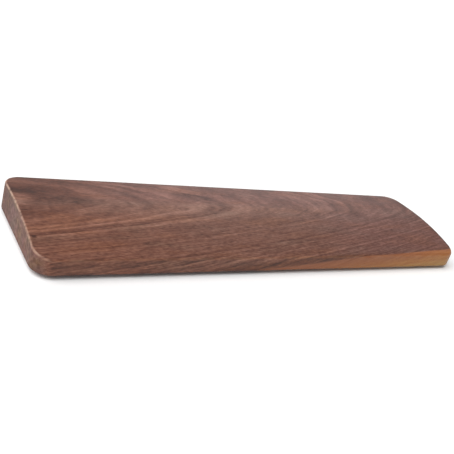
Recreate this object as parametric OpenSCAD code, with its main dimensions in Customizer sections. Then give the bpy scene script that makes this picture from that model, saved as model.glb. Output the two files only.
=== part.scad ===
// Wooden wrist rest for a compact keyboard: one solid walnut slab, thick along the
// keyboard side and thin along the palm side, on six stick-on rubber feet.
//
// Frame: the origin is at the centre of the footprint, on the desk. +X runs to the
// right, +Y towards the keyboard and +Z up. All sizes are in millimetres.

/* [Slab outline] */
// Length of the slab, from its left end to its right end
slab_length = 310; // [250:5:450]
// Depth of the slab, from the palm side to the keyboard side
slab_depth = 80; // [70:1:100]
// Radius of the four corners, seen from above
corner_radius = 10.5; // [5:0.5:15]

/* [Slab section] */
// Height of the top above the underside, along the front edge
front_height = 9.5; // [8:0.1:12]
// Height of the top above the underside, at the crest of the arch
crest_height = 17.4; // [16.6:0.1:20]
// Height of the top above the underside, along the back edge
back_height = 16.5; // [14:0.1:16.5]
// Distance of the crest from the front edge
crest_from_front = 54; // [45:1:62]
// Round on the edges of the top
top_round = 1.2; // [0.6:0.1:2]
// Round on the edges of the underside
bottom_round = 1.5; // [0.6:0.1:2]

/* [Feet] */
// Diameter of a rubber foot
foot_diameter = 12; // [10:0.5:14]
// Thickness of a rubber foot
foot_thickness = 1.8; // [1.8:0.1:3]
// Round on the lower rim of a foot, at most half its thickness
foot_round = 0.8; // [0.4:0.1:0.9]
// Diameter of the shallow dish under a foot
dish_diameter = 5; // [3:0.5:6]
// Depth of the shallow dish under a foot
dish_depth = 0.3; // [0.1:0.1:0.5]
// Distance from the slab's ends to the centres of the outer feet
foot_from_end = 20; // [16:1:40]
// Distance from the slab's long edges to the centres of the feet
foot_from_edge = 14; // [12:1:20]

/* [Adhesive] */
// Diameter of the adhesive disc on each foot
adhesive_diameter = 11; // [8:0.5:11.5]
// Thickness of the adhesive disc
adhesive_thickness = 0.2; // [0.1:0.05:0.4]

/* [Hidden] */
$fn = 96;

// The underside stands on the feet and their adhesive.
underside_z = foot_thickness + adhesive_thickness;

// Where the six feet are, by name
columns = [
    ["left", foot_from_end - slab_length / 2],
    ["middle", 0],
    ["right", slab_length / 2 - foot_from_end],
];
rows = [
    ["front", foot_from_edge - slab_depth / 2],
    ["back", slab_depth / 2 - foot_from_edge],
];
PLACES = [for (row = rows) for (column = columns)
    [str(row[0], "_", column[0]), [column[1], row[1]]]];

// The top is two arcs that meet level at the crest. An arc that falls by drop over
// a run from its level end has this radius.
function arc_radius(run, drop) = (run * run + drop * drop) / (2 * drop);
front_arc_radius = arc_radius(crest_from_front, crest_height - front_height);
back_arc_radius = arc_radius(slab_depth - crest_from_front, crest_height - back_height);

// Height of the top above the underside, at a distance from the front edge
function top_height(from_front) =
    let (run = from_front - crest_from_front)
    let (radius = run < 0 ? front_arc_radius : back_arc_radius)
    crest_height - radius + sqrt(radius * radius - run * run);

corner_step = 15; // degrees between the points of a corner
side_steps = 18;  // strips along the straight part of each end
round_step = 22.5; // degrees between the rings of a rounded edge

// A rounded corner of the outline's right half, set in by inset, with its centre at
// centre_y from the front edge, from one angle to another
function corner_points(inset, centre_y, from_angle, to_angle) =
    [for (a = [from_angle:corner_step:to_angle])
        [slab_length / 2 - corner_radius + (corner_radius - inset) * cos(a),
         centre_y + (corner_radius - inset) * sin(a)]];

// The right half of the slab's outline, front to back, set in by inset
function right_outline(inset) =
    let (straight = slab_depth - 2 * corner_radius)
    concat(
        corner_points(inset, corner_radius, -90, 0),
        [for (i = [1:side_steps - 1])
            [slab_length / 2 - inset, corner_radius + straight * i / side_steps]],
        corner_points(inset, slab_depth - corner_radius, 0, 90)
    );

half_count = len(right_outline(0));
ring_count = 2 * half_count;

// The whole outline as [x, y] pairs, counter-clockwise: up the right, down the left
function outline(inset) =
    let (right = right_outline(inset))
    concat(right, [for (i = [half_count - 1:-1:0]) [-right[i][0], right[i][1]]]);

// One ring of a rounded edge. The angle is 0 on the wall and 90 on the flat.
function bottom_ring(angle) =
    [for (p = outline(bottom_round * (1 - cos(angle))))
        [p[0], p[1], bottom_round * (1 - sin(angle))]];
function top_ring(angle) =
    [for (p = outline(top_round * (1 - cos(angle))))
        [p[0], p[1], top_height(p[1]) - top_round * (1 - sin(angle))]];

rings = concat(
    [for (angle = [90:-round_step:0]) bottom_ring(angle)],
    [for (angle = [0:round_step:90]) top_ring(angle)]
);

// Faces between one ring and the next, and across the first or last ring
function side_faces(ring) =
    let (low = ring * ring_count, high = low + ring_count)
    [for (i = [0:ring_count - 1])
        let (next = (i + 1) % ring_count)
        [low + i, high + i, high + next, low + next]];
function cap_faces(start, up) =
    [for (i = [0:half_count - 2])
        let (strip = [start + i, start + i + 1,
            start + ring_count - 2 - i, start + ring_count - 1 - i])
        up ? [for (k = [3:-1:0]) strip[k]] : strip];

// The walnut slab, with the underside on z = 0 and the front edge on y = 0
module slab_blank() {
    polyhedron(
        points = [for (ring = rings) each ring],
        faces = concat(
            cap_faces(0, false),
            [for (ring = [0:len(rings) - 2]) each side_faces(ring)],
            cap_faces((len(rings) - 1) * ring_count, true)
        )
    );
}

// The cut from a thicker board changes nothing but the facets: those that lie in one
// plane, such as the two of the back face, become one face.
module slab() {
    spare = 1; // board around the blank
    color("#7b5a50")
        translate([0, -slab_depth / 2, underside_z])
            intersection() {
                slab_blank();
                translate([-slab_length / 2 - spare, -spare, -spare])
                    cube([slab_length, slab_depth, crest_height] + [2, 2, 2] * spare);
            }
}

// Half of a foot's section: a flat disc with a rounded lower rim and a shallow dish
module foot_section() {
    rim = foot_diameter / 2 - foot_round;
    difference() {
        union() {
            translate([0, foot_round])
                square([foot_diameter / 2, foot_thickness - foot_round]);
            square([rim, foot_thickness]);
            translate([rim, foot_round])
                circle(foot_round);
        }
        square([dish_diameter / 2, dish_depth]);
    }
}

// A stick-on rubber foot, standing on the desk
module foot(position) {
    color("#26262a")
        translate(position)
            rotate_extrude()
                foot_section();
}

// The adhesive disc between a foot and the slab
module adhesive(position) {
    color("#d8d4c8")
        translate([position[0], position[1], foot_thickness])
            cylinder(d = adhesive_diameter, h = adhesive_thickness);
}

slab();
for (place = PLACES) {
    foot(place[1]);
    adhesive(place[1]);
}
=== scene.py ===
from math import cos, pi, radians, sin, sqrt
from types import SimpleNamespace

import bmesh
import bpy
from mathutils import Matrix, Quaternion, Vector
from mathutils.noise import noise


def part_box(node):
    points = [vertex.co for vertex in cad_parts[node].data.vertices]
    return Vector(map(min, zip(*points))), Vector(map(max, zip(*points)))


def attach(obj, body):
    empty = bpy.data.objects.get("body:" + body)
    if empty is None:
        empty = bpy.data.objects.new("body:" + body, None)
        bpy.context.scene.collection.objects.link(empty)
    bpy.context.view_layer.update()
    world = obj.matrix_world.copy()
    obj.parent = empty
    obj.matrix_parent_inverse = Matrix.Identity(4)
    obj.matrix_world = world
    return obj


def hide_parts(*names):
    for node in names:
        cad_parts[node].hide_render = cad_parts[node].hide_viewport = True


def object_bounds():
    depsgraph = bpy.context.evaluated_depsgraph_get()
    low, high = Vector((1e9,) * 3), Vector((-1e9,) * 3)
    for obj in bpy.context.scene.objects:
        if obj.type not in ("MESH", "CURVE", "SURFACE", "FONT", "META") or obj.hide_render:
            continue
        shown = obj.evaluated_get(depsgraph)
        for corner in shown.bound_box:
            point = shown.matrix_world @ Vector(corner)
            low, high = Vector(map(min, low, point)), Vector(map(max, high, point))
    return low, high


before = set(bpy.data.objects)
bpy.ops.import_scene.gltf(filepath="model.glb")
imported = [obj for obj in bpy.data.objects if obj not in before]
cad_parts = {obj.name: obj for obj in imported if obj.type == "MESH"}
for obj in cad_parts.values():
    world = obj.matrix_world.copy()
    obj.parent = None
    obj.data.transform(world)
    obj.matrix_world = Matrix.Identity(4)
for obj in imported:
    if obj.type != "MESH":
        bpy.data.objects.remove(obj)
cad_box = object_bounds()

MM = 0.001  # the frame is in metres, and the sizes below are in millimetres


# --- Sizes of the slab, as in the CAD model ---------------------------------------

slab_low, slab_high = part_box("slab")
LENGTH = (slab_high.x - slab_low.x) / MM
DEPTH = (slab_high.y - slab_low.y) / MM
UNDERSIDE = slab_low.z / MM  # above the desk
CREST_HEIGHT = (slab_high.z - slab_low.z) / MM  # above the underside, as are these
FRONT_HEIGHT = 9.5
BACK_HEIGHT = 16.5
CREST_FROM_FRONT = 54.0
CORNER_RADIUS = 10.5
TOP_ROUND = 1.2
BOTTOM_ROUND = 1.5

CORNER_STEPS = 24
SIDE_STEPS = 40  # strips along the straight part of each end
COLUMNS = 96  # strips along the straight part of each long side
TOP_RINGS = 10  # steps round the edge of the top
BOTTOM_RINGS = 8  # steps round the edge of the underside


def arc_radius(run, drop):
    """Radius of an arc that falls by drop over a run from its level end."""
    return (run * run + drop * drop) / (2 * drop)


FRONT_ARC = arc_radius(CREST_FROM_FRONT, CREST_HEIGHT - FRONT_HEIGHT)
BACK_ARC = arc_radius(DEPTH - CREST_FROM_FRONT, CREST_HEIGHT - BACK_HEIGHT)


def top_height(from_front):
    """Height of the top above the underside, at a distance from the front edge."""
    run = from_front - CREST_FROM_FRONT
    radius = FRONT_ARC if run < 0 else BACK_ARC
    return CREST_HEIGHT - radius + sqrt(radius * radius - run * run)


def top_slope(from_front):
    """How fast the top rises with the distance from the front edge."""
    run = from_front - CREST_FROM_FRONT
    radius = FRONT_ARC if run < 0 else BACK_ARC
    return -run / sqrt(radius * radius - run * run)


# --- Slab mesh ---------------------------------------------------------------------
# A point of the outline is (x, y, outward x, outward y), with x from the middle of the
# slab and y from its front edge.


def right_outline():
    """The right half of the slab's outline, front to back."""
    corner_x = LENGTH / 2 - CORNER_RADIUS
    back_y = DEPTH - CORNER_RADIUS
    points = []
    for i in range(CORNER_STEPS + 1):
        a = pi / 2 * (i / CORNER_STEPS - 1)
        points.append((corner_x + CORNER_RADIUS * cos(a),
                       CORNER_RADIUS + CORNER_RADIUS * sin(a), cos(a), sin(a)))
    for i in range(1, SIDE_STEPS):
        y = CORNER_RADIUS + (back_y - CORNER_RADIUS) * i / SIDE_STEPS
        points.append((LENGTH / 2, y, 1.0, 0.0))
    for i in range(CORNER_STEPS + 1):
        a = pi / 2 * i / CORNER_STEPS
        points.append((corner_x + CORNER_RADIUS * cos(a),
                       back_y + CORNER_RADIUS * sin(a), cos(a), sin(a)))
    return points


def whole_outline():
    """The outline, counter-clockwise: right half, back edge, left half, front edge."""
    right = right_outline()
    left = [(-x, y, -nx, ny) for x, y, nx, ny in reversed(right)]
    reach = LENGTH / 2 - CORNER_RADIUS
    inner = [reach * (2 * j / COLUMNS - 1) for j in range(1, COLUMNS)]
    back = [(-x, DEPTH, 0.0, 1.0) for x in inner]
    front = [(x, 0.0, 0.0, -1.0) for x in inner]
    return right + back + left + front


def hand_sanding(x, y):
    """How the round of a hand-sanded edge swells and shrinks along the slab."""
    wave = noise(Vector((x, y, 0)) / 37) + 0.5 * noise(Vector((x, y, 50)) / 11)
    return 1 + 0.13 * wave


def ring(outline, angle, size, top):
    """One ring of a rounded edge, as (place, normal, and a mask that peaks in the middle of the round).
    The angle is 0 on the wall.
    """
    points = []
    for x, y, nx, ny in outline:
        round_here = size * hand_sanding(x, y)
        inset = round_here * (1 - cos(angle))
        px = x - nx * inset
        py = y - ny * inset
        drop = round_here * (1 - sin(angle))
        if top:
            pz = top_height(py) - drop
            normal = Vector((nx * cos(angle), ny * cos(angle) - top_slope(py) * sin(angle),
                             sin(angle)))
        else:
            pz = drop
            normal = Vector((nx * cos(angle), ny * cos(angle), -sin(angle)))
        points.append((Vector((px, py, pz)), normal.normalized(), sin(2 * angle)))
    return points


def band_faces(low, count):
    """The faces between one ring and the next. The first ring's points start at low."""
    faces = []
    for i in range(count):
        j = (i + 1) % count
        faces.append((low + i, low + j, low + count + j, low + count + i))
    return faces


def add_cap(points, faces, start, half, top):
    """Adds a grid across the ring that starts at start, as rows from front to back."""
    right = [start + i for i in range(half)]
    back = [start + half + i for i in range(COLUMNS - 1)]
    left = [start + half + COLUMNS - 1 + i for i in range(half)]
    front = [start + 2 * half + COLUMNS - 1 + i for i in range(COLUMNS - 1)]
    left.reverse()
    back.reverse()
    rows = [[left[0]] + front + [right[0]]]
    for i in range(1, half - 1):
        row = [left[i]]
        for j in range(1, COLUMNS):
            u = j / COLUMNS
            side = points[left[i]][0].lerp(points[right[i]][0], u)
            side_front = points[left[0]][0].lerp(points[right[0]][0], u).y
            side_back = points[left[-1]][0].lerp(points[right[-1]][0], u).y
            v = (side.y - side_front) / (side_back - side_front)
            y = points[front[j - 1]][0].y * (1 - v) + points[back[j - 1]][0].y * v
            if top:
                place = Vector((side.x, y, top_height(y)))
                normal = Vector((0, -top_slope(y), 1)).normalized()
            else:
                place = Vector((side.x, y, 0))
                normal = Vector((0, 0, -1))
            row.append(len(points))
            points.append((place, normal, 0.0))
        rows.append(row + [right[i]])
    rows.append([left[-1]] + back + [right[-1]])
    for low, high in zip(rows, rows[1:]):
        for j in range(COLUMNS):
            quad = (low[j], low[j + 1], high[j + 1], high[j])
            faces.append(quad if top else quad[::-1])


def slab_piece():
    """The walnut slab, with finely rounded edges."""
    outline = whole_outline()
    half = len(right_outline())
    count = len(outline)
    quarter = pi / 2
    rings = [ring(outline, quarter * (1 - i / BOTTOM_RINGS), BOTTOM_ROUND, False)
             for i in range(BOTTOM_RINGS + 1)]
    rings += [ring(outline, quarter * i / TOP_RINGS, TOP_ROUND, True)
              for i in range(TOP_RINGS + 1)]
    last_ring = count * (len(rings) - 1)

    points = [point for one in rings for point in one]
    faces = []
    for low in range(0, last_ring, count):
        faces += band_faces(low, count)
    add_cap(points, faces, 0, half, False)
    add_cap(points, faces, last_ring, half, True)

    shift = Vector((0, -DEPTH / 2, UNDERSIDE))
    mesh = bpy.data.meshes.new("walnut_slab")
    mesh.from_pydata([(place + shift) * MM for place, _, _ in points], [], faces)
    mesh.polygons.foreach_set("use_smooth", [True] * len(mesh.polygons))
    edge_mask = mesh.attributes.new("edge_mask", "FLOAT", "POINT")
    edge_mask.data.foreach_set("value", [value for _, _, value in points])
    mesh.normals_split_custom_set_from_vertices([normal for _, normal, _ in points])
    mesh.validate()
    slab = bpy.data.objects.new("walnut_slab", mesh)
    bpy.context.scene.collection.objects.link(slab)
    return slab


# --- Node helpers ------------------------------------------------------------------


class Graph:
    """A material's node tree, with short calls for the nodes used here."""

    def __init__(self, name):
        self.material = bpy.data.materials.new(name)
        self.material.use_nodes = True
        self.tree = self.material.node_tree
        self.shader = self.tree.nodes["Principled BSDF"]

    def add(self, kind, inputs=(), **settings):
        """A new node. Its inputs are given by name or number, as sockets or values."""
        node = self.tree.nodes.new(kind)
        for name, value in settings.items():
            setattr(node, name, value)
        for key, value in dict(inputs).items():
            self.feed(node.inputs[key], value)
        return node

    def feed(self, socket, value):
        if isinstance(value, bpy.types.NodeSocket):
            self.tree.links.new(value, socket)
        else:
            socket.default_value = value

    def math(self, operation, *values):
        return self.add("ShaderNodeMath", enumerate(values), operation=operation).outputs[0]

    def add_up(self, *values):
        total = values[0]
        for value in values[1:]:
            total = self.math("ADD", total, value)
        return total

    def times(self, *values):
        product = values[0]
        for value in values[1:]:
            product = self.math("MULTIPLY", product, value)
        return product

    def ease(self, value, low, high, to_low=0.0, to_high=1.0):
        """A smooth step from to_low, at low, to to_high, at high."""
        node = self.add("ShaderNodeMapRange", {0: value, 1: low, 2: high, 3: to_low, 4: to_high},
                        interpolation_type="SMOOTHSTEP")
        return node.outputs[0]

    def object_mm(self, origin=(0, 0, 0)):
        """The place on the object in millimetres, from an origin in millimetres."""
        place = self.add("ShaderNodeTexCoord").outputs["Object"]
        node = self.add("ShaderNodeVectorMath", {0: place, 1: (1 / MM,) * 3, 2: [-c for c in origin]},
                        operation="MULTIPLY_ADD")
        return node.outputs[0]

    def split(self, vector):
        return self.add("ShaderNodeSeparateXYZ", {0: vector}).outputs[:3]

    def join(self, x, y, z):
        return self.add("ShaderNodeCombineXYZ", {0: x, 1: y, 2: z}).outputs[0]

    def noise(self, place, grain, detail=2.0, roughness=0.5, shift=0.0):
        """Noise from about -1 to 1, with grains of the given size along x, y and z."""
        scaled = self.add("ShaderNodeVectorMath",
                          {0: place, 1: [1 / size for size in grain], 2: (shift,) * 3},
                          operation="MULTIPLY_ADD").outputs[0]
        value = self.add("ShaderNodeTexNoise", {"Vector": scaled, "Scale": 1.0, "Detail": detail,
                                                "Roughness": roughness}).outputs[0]
        return self.math("MULTIPLY_ADD", value, 4.0, -2.0)

    def line_noise(self, distance, grain, detail=2.0, roughness=0.5):
        """Noise from about -1 to 1 that varies with one distance only."""
        along = self.math("DIVIDE", distance, grain)
        value = self.add("ShaderNodeTexNoise", {"W": along, "Scale": 1.0, "Detail": detail,
                                                "Roughness": roughness}, noise_dimensions="1D").outputs[0]
        return self.math("MULTIPLY_ADD", value, 4.0, -2.0)

    def ramp(self, value, stops, interpolation="LINEAR"):
        """A colour for each value from 0 to 1. The stops are (position, colour)."""
        node = self.add("ShaderNodeValToRGB", {0: value})
        node.color_ramp.interpolation = interpolation
        elements = node.color_ramp.elements
        while len(elements) < len(stops):
            elements.new(1.0)
        for element, (position, colour) in zip(elements, stops):
            element.position = position
            element.color = (*colour, 1.0)
        return node.outputs[0]

    def mix(self, factor, first, second, blend="MIX"):
        node = self.add("ShaderNodeMix", {0: factor, 6: first, 7: second}, data_type="RGBA",
                        blend_type=blend)
        return node.outputs[2]

    def bump(self, height, distance):
        """A bump whose height, from 0 to 1, stands for a distance in metres."""
        inputs = {"Height": height, "Distance": distance, "Strength": 1.0}
        return self.add("ShaderNodeBump", inputs).outputs[0]


def rgb(red, green, blue):
    """A colour for a node's socket, from linear red, green and blue."""
    return (red, green, blue, 1.0)


# --- Walnut ------------------------------------------------------------------------
# The figure is that of a real board: growth rings round a pith above the board, which
# the top cuts into long arches. Places are in millimetres from the slab's left end, its
# front edge and its underside.

PITH_Y = 37.5  # from the front edge, at the left end
PITH_DRIFT = 0.076  # how far the pith moves back for each millimetre along
PITH_HEIGHT = 41.4  # above the underside
BACK_WIDTH = 0.5  # a distance behind the pith counts for this much: its arches are wider
TAPER = 0.035  # how fast the radius grows along the board, at the left end
TAPER_GROWTH = 0.00024  # and how much faster for each millimetre along

# The few rings that stand out, by radius: dark wood round the pith, a dark line between
# two pale bands, and even wood outside them. A tone of -1 is dark late wood, and 1 is
# light early wood. The finer rings vary by chance.
RING_TONES = [(23, -0.5), (26, -0.1), (31, 0.5), (33, -0.7), (34, 0.6), (36, -0.1), (65, -0.2)]

# The sapwood at the front right corner lies past a slanting plane. How far past is
# measured along the slab, from an origin of its own.
SAP_PER_BACK = 12.2  # the plane lies this much further along for each millimetre back
SAP_PER_UP = 9.3  # and this much for each millimetre up
MARGIN_START = 62.0  # the heartwood darkens from here
MARGIN_FULL = 105.0
HEART_END = 122.0  # it gives way to the sapwood from here
SAP_PURE = 134.0

# Colours of the sapwood, at even steps outwards: rust to straw
SAP_COLOURS = [(0.25, 0.09, 0.04), (0.28, 0.10, 0.03), (0.34, 0.14, 0.03), (0.36, 0.20, 0.05)]
SAP_FIRST = 128.0
SAP_LAST = 270.0

# A pin knot in the top, by the left end
KNOT_X = 2.8
KNOT_Y = 16.6

DARK_STAIN = (0.35, 0.28, 0.25)  # pores and the knot
# Painted shade for the rims that turn away from the light, and the lower edge
PAINTED_SHADE_RIM = (0.35, 0.27, 0.25)
# Lighter colour of the rounded edges: wear, and a painted highlight
WORN_AND_HIGHLIT_WOOD = (0.46, 0.28, 0.19)


def behind_pith(g, x, y):
    """How far a place is behind the pith, which drifts back along the slab."""
    return g.math("SUBTRACT", y, g.math("MULTIPLY_ADD", x, PITH_DRIFT, PITH_Y))


def ring_radius(g, place):
    """The distance from the pith, which is the same all along one growth ring."""
    x, y, z = g.split(place)
    # The arches near the left end have their tips further back
    lag = g.times(g.ease(x, 20.0, 130.0, 8.0, 0.0), g.ease(y, 24.0, 50.0))
    across = g.math("SUBTRACT", behind_pith(g, x, y), lag)
    behind = g.math("MAXIMUM", across, 0.0)
    before = g.math("MINIMUM", across, 0.0)
    across = g.math("MULTIPLY_ADD", behind, BACK_WIDTH, before)
    up = g.math("SUBTRACT", PITH_HEIGHT, z)
    radius = g.math("SQRT", g.math("MULTIPLY_ADD", across, across, g.times(up, up)))
    radius = g.math("ADD", radius, g.times(x, g.math("MULTIPLY_ADD", x, TAPER_GROWTH, TAPER)))
    # The inner rings tighten towards the left end
    tight = g.times(g.ease(x, 10.0, 95.0, 1.3, 0.0), g.ease(radius, 34.0, 38.0, 1.0, 0.0))
    return g.math("SUBTRACT", radius, tight)


def growth_rings(g, place):
    """The radius of the growth rings, which wander a little, and their tone."""
    x, y, _ = g.split(place)
    wander = g.add_up(
        g.times(g.noise(place, (120, 30, 30), 1.0), 0.45),
        g.times(g.noise(place, (25, 6, 6), 2.0), 0.30),
        g.times(g.noise(place, (7, 2, 2), 1.0), 0.10),
    )
    radius = g.math("ADD", ring_radius(g, place), wander)
    first = RING_TONES[0][0]
    span = RING_TONES[-1][0] - first
    stops = [((r - first) / span, (0.5 + tone / 2,) * 3) for r, tone in RING_TONES]
    rings = g.ramp(g.math("DIVIDE", g.math("SUBTRACT", radius, first), span), stops, "EASE")
    rings = g.math("MULTIPLY_ADD", rings, 2.0, -1.0)
    finer = g.times(g.line_noise(radius, 1.7, 2.0, 0.6), g.ease(radius, 27.0, 32.0, 0.70, 0.38))
    rings = g.math("ADD", rings, finer)
    uneven = g.noise(place, (40, 7, 7), 1.0, shift=7.0)
    rings = g.times(rings, g.math("MULTIPLY_ADD", uneven, 0.40, 1.0))
    # The arches behind the pith are fainter than the straight grain in front of it
    behind = behind_pith(g, x, y)
    rings = g.times(rings, g.ease(behind, -14.0, 2.0, 1.0, 0.7), g.ease(behind, 4.0, 20.0, 1.0, 1.2))
    return radius, rings


def wood_grain(g, place, radius):
    """The finer figure, as noise: lines and streaks along the rings, fibres and spots."""
    x, y, _ = g.split(place)
    along_rings = g.join(x, radius, g.times(y, 0.15))
    strength = g.math("MULTIPLY_ADD", g.noise(place, (22, 4, 4), 1.0, shift=3.0), 0.7, 0.8)
    return SimpleNamespace(
        lines=g.times(g.line_noise(radius, 0.9, 2.0, 0.7), strength),
        streaks=g.noise(along_rings, (22, 1.3, 1.5), 2.0, 0.6, shift=23.0),
        blotches=g.noise(along_rings, (9, 2.2, 2.2), 1.0, 0.5, shift=71.0),
        flecks=g.noise(place, (2.8, 1.0, 1.0), 1.0, 0.5, shift=17.0),
        clumps=g.noise(place, (7, 2.6, 2.6), 1.0, 0.5, shift=73.0),
        mottle=g.noise(place, (20, 12, 12), 1.0, 0.5, shift=97.0),
        fibres=g.noise(place, (9, 0.3, 0.3), 2.0, 0.6, shift=11.0),
    )


def heartwood_tone(g, place, rings, grain, end_grain, front_face):
    """How light the heartwood is, from about 0 to 1."""
    x, y, _ = g.split(place)
    ticks = g.ease(g.noise(place, (4.0, 0.60, 0.60), 1.0, 0.5, shift=83.0), 0.35, 1.0)
    # The board is lightest away from its right end. It has two pale patches: one at the
    # back, right of the middle, and one left of the middle.
    shade = g.ease(x, 200.0, 290.0, 0.03, 0.0)
    cloud = g.times(g.ease(x, 175.0, 205.0, 0.0, 0.11), g.ease(x, 225.0, 250.0, 1.0, -0.3),
                    g.ease(y, 46.0, 58.0))
    glow = g.times(g.ease(x, 45.0, 70.0), g.ease(x, 110.0, 135.0, 0.08, 0.0),
                   g.ease(y, 28.0, 38.0), g.ease(y, 44.0, 54.0, 1.0, 0.3))
    along = g.add_up(
        shade,
        cloud,
        glow,
        g.times(rings, 0.30),
        g.times(grain.lines, g.ease(x, 90.0, 150.0, 0.12, 0.15)),
        g.times(grain.streaks, 0.10),
        g.times(grain.flecks, 0.16),
        g.times(grain.blotches, 0.07),
        g.times(grain.fibres, 0.08),
        g.times(ticks, -0.20),
        g.times(grain.mottle, g.ease(y, 34.0, 48.0), 0.16),
        0.03,
    )
    # The front face has stronger streaks, and is darker towards the left end
    streaky = g.math("SUBTRACT", g.times(grain.streaks, 0.22), g.ease(x, 30.0, 150.0, 0.06, 0.0))
    along = g.math("ADD", along, g.times(streaky, front_face))
    # The cut ends show clumps of fibres, hardly any rings and no streaks
    across = g.add_up(g.times(rings, 0.05), g.times(grain.clumps, 0.22),
                      g.times(grain.fibres, 0.12), -0.10)
    return g.add_up(g.times(along, g.math("SUBTRACT", 1.0, end_grain)),
                    g.times(across, end_grain), 0.5)


def tinted(g, colour, tints):
    """A colour multiplied by each tint in turn, as far as the tint's own factor says."""
    for factor, tint in tints:
        colour = g.mix(factor, colour, rgb(*tint), "MULTIPLY")
    return colour


def heartwood(g, place, tone, end_grain, front_face):
    """The colour of the heartwood: a brown that is warmer, greyer, pinker or darker by place."""
    x, y, _ = g.split(place)
    colour = g.ramp(tone, [
        (0.0, (0.045, 0.014, 0.008)),
        (0.3, (0.096, 0.035, 0.022)),
        (0.5, (0.150, 0.061, 0.041)),
        (0.7, (0.212, 0.096, 0.066)),
        (1.0, (0.320, 0.165, 0.120)),
    ])
    hue = g.noise(place, (45, 9, 9), 2.0, shift=61.0)
    front_left = g.times(g.ease(x, 40.0, 110.0, 1.0, 0.0), g.ease(y, 34.0, 48.0, 1.0, 0.0))
    front_right = g.times(g.ease(x, 170.0, 250.0), g.ease(y, 44.0, 60.0, 1.0, 0.0))
    back = g.ease(y, 46.0, 60.0)
    back_left = g.times(back, g.ease(x, 20.0, 90.0, 1.0, 0.0))
    patches = g.noise(place, (9, 9, 7), 1.0, 0.5, shift=101.0)
    return tinted(g, colour, [
        (g.ease(hue, 0.0, 0.7, 0.0, 0.6), (1.06, 0.98, 0.80)),
        (g.ease(hue, 0.0, -0.7, 0.0, 0.6), (0.88, 1.00, 1.02)),
        (front_left, (1.05, 0.96, 0.88)),
        (front_right, (1.05, 1.07, 1.22)),
        (front_face, (1.0, 0.90, 0.78)),
        (back, (0.95, 0.85, 0.90)),
        (back_left, (0.85, 0.78, 0.66)),
        # The cut ends are greyer, with olive and pink patches
        (end_grain, (0.98, 1.27, 1.48)),
        (g.times(end_grain, g.ease(patches, 0.0, 0.7)), (0.99, 1.05, 0.84)),
        (g.times(end_grain, g.ease(patches, 0.0, -0.7)), (1.03, 0.93, 1.05)),
    ])


def with_sapwood(g, place, heart, grain):
    """The heartwood's colour, with the sapwood past a darker margin."""
    x, y, z = g.split(place)
    past = g.add_up(x, g.times(y, -SAP_PER_BACK), g.times(z, -SAP_PER_UP),
                    g.times(g.noise(place, (50, 8, 8), 2.0, shift=41.0), 5.0))
    # The darker margin shows most on the front face
    margin = g.times(g.ease(past, MARGIN_START, MARGIN_FULL), g.ease(y, 0.5, 3.0, 1.0, 0.25))
    heart = g.mix(margin, heart, rgb(0.72, 0.56, 0.35), "MULTIPLY")
    outward = g.math("DIVIDE", g.math("SUBTRACT", past, SAP_FIRST), SAP_LAST - SAP_FIRST)
    last = len(SAP_COLOURS) - 1
    sap = g.ramp(outward, [(i / last, colour) for i, colour in enumerate(SAP_COLOURS)])
    tone = g.add_up(g.times(grain.lines, 0.30), g.times(grain.flecks, 0.20),
                    g.times(grain.streaks, 0.34), g.times(g.line_noise(past, 16.0, 1.0), 0.20), 0.5)
    sap = g.mix(1.0, sap, g.ramp(tone, [(0.0, (0.80, 0.66, 0.50)), (1.0, (1.0, 1.0, 1.0))]), "MULTIPLY")
    # The sapwood is lighter on the top than on the front face
    sap = g.mix(g.ease(y, 1.5, 3.0), sap, rgb(1.30, 1.45, 1.50), "MULTIPLY")
    return g.mix(g.ease(past, HEART_END, SAP_PURE), heart, sap)


def pin_knot(g, x, y, z):
    """1 in the pin knot, which is longer along the grain, and 0 around it."""
    along = g.math("ABSOLUTE", g.math("SUBTRACT", x, KNOT_X))
    across = g.math("ABSOLUTE", g.math("SUBTRACT", y, KNOT_Y))
    in_top = g.ease(z, 11.0, 12.0)
    return g.times(g.ease(along, 0.4, 2.0, 1.0, 0.0), g.ease(across, 0.3, 1.3, 1.0, 0.0), in_top)


def painted_shade_rim(g, x, y, z, normal_z, edge_mask):
    """Painted shade: a darker rim of the top along the back and the right end, where its round turns away
    from the light, and along the lower edge, which faces the floor.
    """
    past_x = g.math("MAXIMUM", g.math("SUBTRACT", x, LENGTH - CORNER_RADIUS), 0.0)
    past_y = g.math("MAXIMUM", g.math("SUBTRACT", y, DEPTH - CORNER_RADIUS), 0.0)
    reach = g.math("SQRT", g.add_up(g.times(past_x, past_x), g.times(past_y, past_y)))
    inset = g.math("SUBTRACT", CORNER_RADIUS, reach)
    # Painted shade where the top's round turns away from the light, along the back and the right end
    rim = g.times(g.ease(inset, 1.0, 2.8, 0.6, 0.0), g.ease(normal_z, 0.1, 0.4))
    # Painted shade along the lower edge, which faces the floor
    shaded_lower_edge = g.times(edge_mask, g.ease(z, 3.0, 6.0, 0.5, 0.0))
    return g.math("MAXIMUM", rim, shaded_lower_edge)


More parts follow.
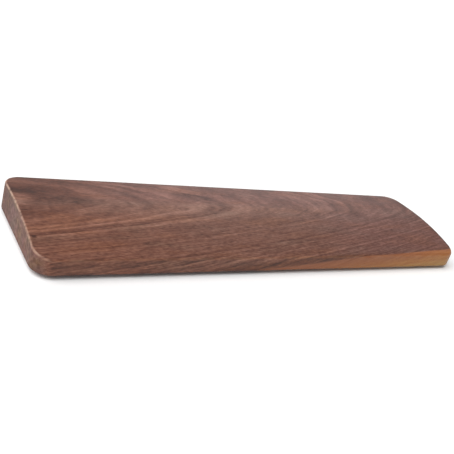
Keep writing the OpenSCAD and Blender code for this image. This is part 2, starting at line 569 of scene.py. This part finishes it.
def walnut_material():
    g = Graph("walnut")
    place = g.object_mm((-LENGTH / 2, -DEPTH / 2, UNDERSIDE))
    x, y, z = g.split(place)
    normal_x, _, normal_z = g.split(g.add("ShaderNodeTexCoord").outputs["Normal"])
    facing_end = g.math("ABSOLUTE", normal_x)
    end_grain = g.ease(facing_end, 0.35, 0.8)
    front_face = g.ease(y, 0.2, 1.6, 1.0, 0.0)
    edge_mask = g.add("ShaderNodeAttribute", attribute_name="edge_mask").outputs["Fac"]

    radius, rings = growth_rings(g, place)
    grain = wood_grain(g, place, radius)
    tone = heartwood_tone(g, place, rings, grain, end_grain, front_face)
    heart = heartwood(g, place, tone, end_grain, front_face)
    colour = with_sapwood(g, place, heart, grain)

    # Pores and the knot are dark. The rounded edges are lighter, most of all at the ends: partly wear,
    # and partly a painted highlight along the rounds.
    pores = g.ease(g.noise(place, (3.2, 0.34, 0.34), 1.0, 0.5, shift=31.0), 0.45, 0.95)
    dark = g.math("MAXIMUM", g.times(pores, 0.5), pin_knot(g, x, y, z))
    colour = g.mix(dark, colour, rgb(*DARK_STAIN), "MULTIPLY")
    patchy = g.ease(g.noise(place, (9, 3, 3), 3.0, shift=53.0), -1.0, 0.6)
    worn_and_highlit = g.times(edge_mask, patchy, g.ease(z, 3.0, 6.0))
    wear_and_highlight_strength = g.math("MULTIPLY_ADD", g.ease(facing_end, 0.1, 0.4), 0.42, 0.18)
    # Partly wear and partly a painted highlight on the rounded edges, strongest at the ends
    colour = g.mix(g.times(worn_and_highlit, wear_and_highlight_strength), colour, rgb(*WORN_AND_HIGHLIT_WOOD))
    # Painted shade: a darker rim along the back, the right end and the lower edge
    colour = g.mix(painted_shade_rim(g, x, y, z, normal_z, edge_mask), colour, rgb(*PAINTED_SHADE_RIM), "MULTIPLY")
    g.feed(g.shader.inputs["Base Color"], colour)

    roughness = g.add_up(g.times(grain.fibres, 0.03), g.times(grain.streaks, -0.02),
                         g.times(pores, 0.18), g.times(worn_and_highlit, -0.08),
                         g.times(end_grain, 0.25), 0.46)
    g.feed(g.shader.inputs["Roughness"], roughness)
    g.shader.inputs["Specular IOR Level"].default_value = 0.4
    height = g.add_up(g.times(pores, -0.7), g.times(grain.fibres, 0.12),
                      g.times(grain.lines, 0.05), 0.8)
    g.feed(g.shader.inputs["Normal"], g.bump(height, 0.00006))
    return g.material


# --- Rubber and adhesive -----------------------------------------------------------


def rubber_material():
    g = Graph("rubber")
    place = g.object_mm()
    grain = g.noise(place, (0.35, 0.35, 0.35), 2.0)
    cloud = g.noise(place, (3, 3, 3), 3.0, shift=5.0)
    dust = g.ease(g.noise(place, (0.8, 0.8, 0.8), 4.0, 0.7, shift=9.0), 0.3, 1.6)
    colour = g.ramp(g.math("MULTIPLY_ADD", cloud, 0.25, 0.5),
                    [(0.0, (0.012, 0.012, 0.013)), (1.0, (0.030, 0.030, 0.032))])
    g.feed(g.shader.inputs["Base Color"], g.mix(g.times(dust, 0.35), colour, rgb(0.12, 0.11, 0.10)))
    g.feed(g.shader.inputs["Roughness"], g.add_up(g.times(grain, 0.05), g.times(dust, 0.15), 0.66))
    g.feed(g.shader.inputs["Normal"], g.bump(g.math("MULTIPLY_ADD", grain, 0.25, 0.5), 0.00003))
    return g.material


def adhesive_material():
    g = Graph("adhesive")
    place = g.object_mm()
    fibres = g.noise(place, (1.2, 0.25, 0.25), 3.0, 0.7)
    cloud = g.noise(place, (2, 2, 2), 2.0, shift=5.0)
    tone = g.add_up(g.times(fibres, 0.2), g.times(cloud, 0.2), 0.5)
    colour = g.ramp(tone, [(0.0, (0.52, 0.49, 0.41)), (1.0, (0.76, 0.74, 0.67))])
    g.feed(g.shader.inputs["Base Color"], colour)
    g.feed(g.shader.inputs["Roughness"], g.math("MULTIPLY_ADD", cloud, 0.06, 0.55))
    g.feed(g.shader.inputs["Normal"], g.bump(g.math("MULTIPLY_ADD", fibres, 0.25, 0.5), 0.00002))
    return g.material


# --- Feet --------------------------------------------------------------------------

FOOT_STEPS = 96


def arc(centre_x, centre_y, radius, start, end, steps):
    """Points of an arc, with its angles in degrees."""
    angles = [radians(start + (end - start) * i / steps) for i in range(steps + 1)]
    return [(centre_x + radius * cos(a), centre_y + radius * sin(a)) for a in angles]


def foot_profile(radius, height):
    """Half of a foot's section, from the middle of its underside to the middle of its top."""
    dish_radius = 2.5
    dish_depth = 0.3
    grooves = (3.1, 3.7, 4.3, 4.9)  # radii of the grip grooves
    groove = 0.14  # radius of each groove's section
    rim = 0.8  # radius of the lower rim
    lip = 0.15  # radius of the upper rim
    seam_height = 1.2  # where the two halves of the mould met
    seam = 0.05  # how far the seam stands out
    seam_half = 0.06  # half the seam's height
    # The dish, with an eased edge
    points = [(0.0, dish_depth)]
    points += [(dish_radius - 0.5, dish_depth), (dish_radius - 0.2, dish_depth - 0.08)]
    points += [(dish_radius - 0.08, 0.08), (dish_radius + 0.05, 0.0)]
    for middle in grooves:
        points += arc(middle, 0.0, groove, 180, 0, 6)
    points += arc(radius - seam - rim, rim, rim, -90, 0, 10)
    points.append((radius - seam, seam_height - seam_half))
    points.append((radius, seam_height))
    points.append((radius - seam, seam_height + seam_half))
    points += arc(radius - seam - lip, height - lip, lip, 0, 90, 5)
    points.append((0.0, height))
    return points


def lathe(name, profile, centre):
    """A closed solid turned about Z, from a profile in millimetres, standing at centre."""
    mesh = bmesh.new()
    loops = []
    for radius, height in profile:
        if radius == 0:
            loops.append([mesh.verts.new(centre + Vector((0, 0, height)) * MM)])
            continue
        loop = []
        for i in range(FOOT_STEPS):
            a = 2 * pi * i / FOOT_STEPS
            loop.append(mesh.verts.new(centre + Vector((radius * cos(a), radius * sin(a), height)) * MM))
        loops.append(loop)
    for low, high in zip(loops, loops[1:]):
        for i in range(FOOT_STEPS):
            j = (i + 1) % FOOT_STEPS
            corners = [low[i % len(low)], low[j % len(low)], high[j % len(high)], high[i % len(high)]]
            # A face that touches the axis has only three corners
            mesh.faces.new(list(dict.fromkeys(corners)))
    bmesh.ops.recalc_face_normals(mesh, faces=mesh.faces)
    for face in mesh.faces:
        face.smooth = True
    data = bpy.data.meshes.new(name)
    mesh.to_mesh(data)
    mesh.free()
    data.set_sharp_from_angle(angle=radians(40))
    piece = bpy.data.objects.new(name, data)
    bpy.context.scene.collection.objects.link(piece)
    return piece


def foot_piece(node):
    """A moulded rubber foot in the place of its CAD node, with grip grooves underneath."""
    low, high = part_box(node)
    centre = (low + high) / 2
    centre.z = low.z
    profile = foot_profile((high.x - low.x) / 2 / MM, (high.z - low.z) / MM)
    return lathe("rubber_" + node, profile, centre)


# --- Pieces ------------------------------------------------------------------------

walnut = walnut_material()
rubber = rubber_material()
adhesive = adhesive_material()

slab_object = slab_piece()
slab_object.data.materials.append(walnut)
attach(slab_object, "root")
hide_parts("slab")

for node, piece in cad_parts.items():
    if node.startswith("foot_"):
        foot = foot_piece(node)
        foot.data.materials.append(rubber)
        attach(foot, "root")
        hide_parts(node)
    if node.startswith("adhesive_"):
        piece.data.materials.clear()
        piece.data.materials.append(adhesive)


# --- Floor, lights and camera ------------------------------------------------------
# Places and sizes here are in metres, from the frame's origin.


def floor_material():
    g = Graph("floor")
    place = g.object_mm()
    cloud = g.noise(place, (400, 400, 400), 3.0)
    colour = g.ramp(g.math("MULTIPLY_ADD", cloud, 0.25, 0.5),
                    [(0.0, (0.92, 0.92, 0.92)), (1.0, (0.96, 0.96, 0.96))])
    g.feed(g.shader.inputs["Base Color"], colour)
    g.shader.inputs["Roughness"].default_value = 0.9
    g.shader.inputs["Specular IOR Level"].default_value = 0.1
    return g.material


def make_floor(size):
    mesh = bpy.data.meshes.new("floor")
    h = size / 2
    mesh.from_pydata([(-h, -h, 0), (h, -h, 0), (h, h, 0), (-h, h, 0)], [], [(0, 1, 2, 3)])
    mesh.materials.append(floor_material())
    floor = bpy.data.objects.new("floor", mesh)
    bpy.context.scene.collection.objects.link(floor)
    return floor


def aim(lamp, target):
    """Turns a light to shine at a target."""
    lamp.rotation_euler = (Vector(target) - lamp.location).to_track_quat("-Z", "Y").to_euler()


def softbox(name, place, target, width, height, power):
    light = bpy.data.lights.new(name, "AREA")
    light.shape = "RECTANGLE"
    light.size = width
    light.size_y = height
    light.energy = power
    lamp = bpy.data.objects.new(name, light)
    lamp.location = place
    aim(lamp, target)
    bpy.context.scene.collection.objects.link(lamp)


def broad_light(name, direction, strength, angle):
    """Even light on the whole floor, from a wide patch of sky in one direction."""
    light = bpy.data.lights.new(name, "SUN")
    light.energy = strength
    light.angle = radians(angle)
    lamp = bpy.data.objects.new(name, light)
    lamp.location = direction
    aim(lamp, (0, 0, 0))
    bpy.context.scene.collection.objects.link(lamp)


def studio_world():
    """A white backdrop up to just above the horizon, and a dim room over it."""
    backdrop = 1.03
    backdrop_top = sin(radians(8))
    room = 0.33
    room_bottom = sin(radians(16))
    world = bpy.data.worlds.new("studio")
    world.use_nodes = True
    tree = world.node_tree
    place = tree.nodes.new("ShaderNodeTexCoord")
    split = tree.nodes.new("ShaderNodeSeparateXYZ")
    fade = tree.nodes.new("ShaderNodeMapRange")
    for number, value in ((1, backdrop_top), (2, room_bottom), (3, backdrop), (4, room)):
        fade.inputs[number].default_value = value
    tree.links.new(place.outputs["Generated"], split.inputs[0])
    tree.links.new(split.outputs["Z"], fade.inputs[0])
    tree.links.new(fade.outputs[0], tree.nodes["Background"].inputs["Strength"])
    tree.nodes["Background"].inputs["Color"].default_value = rgb(1, 1, 1)
    bpy.context.scene.world = world


CAMERA_PLACE = Vector((-0.2535, -0.3127, 0.1853))
CAMERA_AZIMUTH = radians(36.45)  # from +Y towards +X
CAMERA_DOWN = radians(24.3)
CAMERA_ROLL = radians(17.8)
CAMERA_LENS = 53.4  # mm, on a sensor 36 mm wide

camera_data = bpy.data.cameras.new("camera")
camera_data.lens = CAMERA_LENS
camera_data.sensor_width = 36.0
camera_data.clip_start = 0.01
camera_data.clip_end = 100.0
camera = bpy.data.objects.new("camera", camera_data)
camera.location = CAMERA_PLACE
ahead = Vector((sin(CAMERA_AZIMUTH) * cos(CAMERA_DOWN), cos(CAMERA_AZIMUTH) * cos(CAMERA_DOWN),
                -sin(CAMERA_DOWN)))
level = ahead.to_track_quat("-Z", "Y")
camera.rotation_euler = (level @ Quaternion((0, 0, 1), CAMERA_ROLL)).to_euler()
bpy.context.scene.collection.objects.link(camera)
bpy.context.scene.camera = camera

make_floor(40.0)
studio_world()
middle = (cad_box[0] + cad_box[1]) / 2
broad_light("key", (-1.05, -0.20, 1.70), 2.9, 60)
softbox("rim", (-0.62, 1.02, 0.20), middle, 0.30, 0.20, 5.0)
softbox("sheen", (0.82, 1.16, 0.50), middle, 0.8, 0.4, 1.1)

bpy.context.scene.view_settings.view_transform = "Standard"
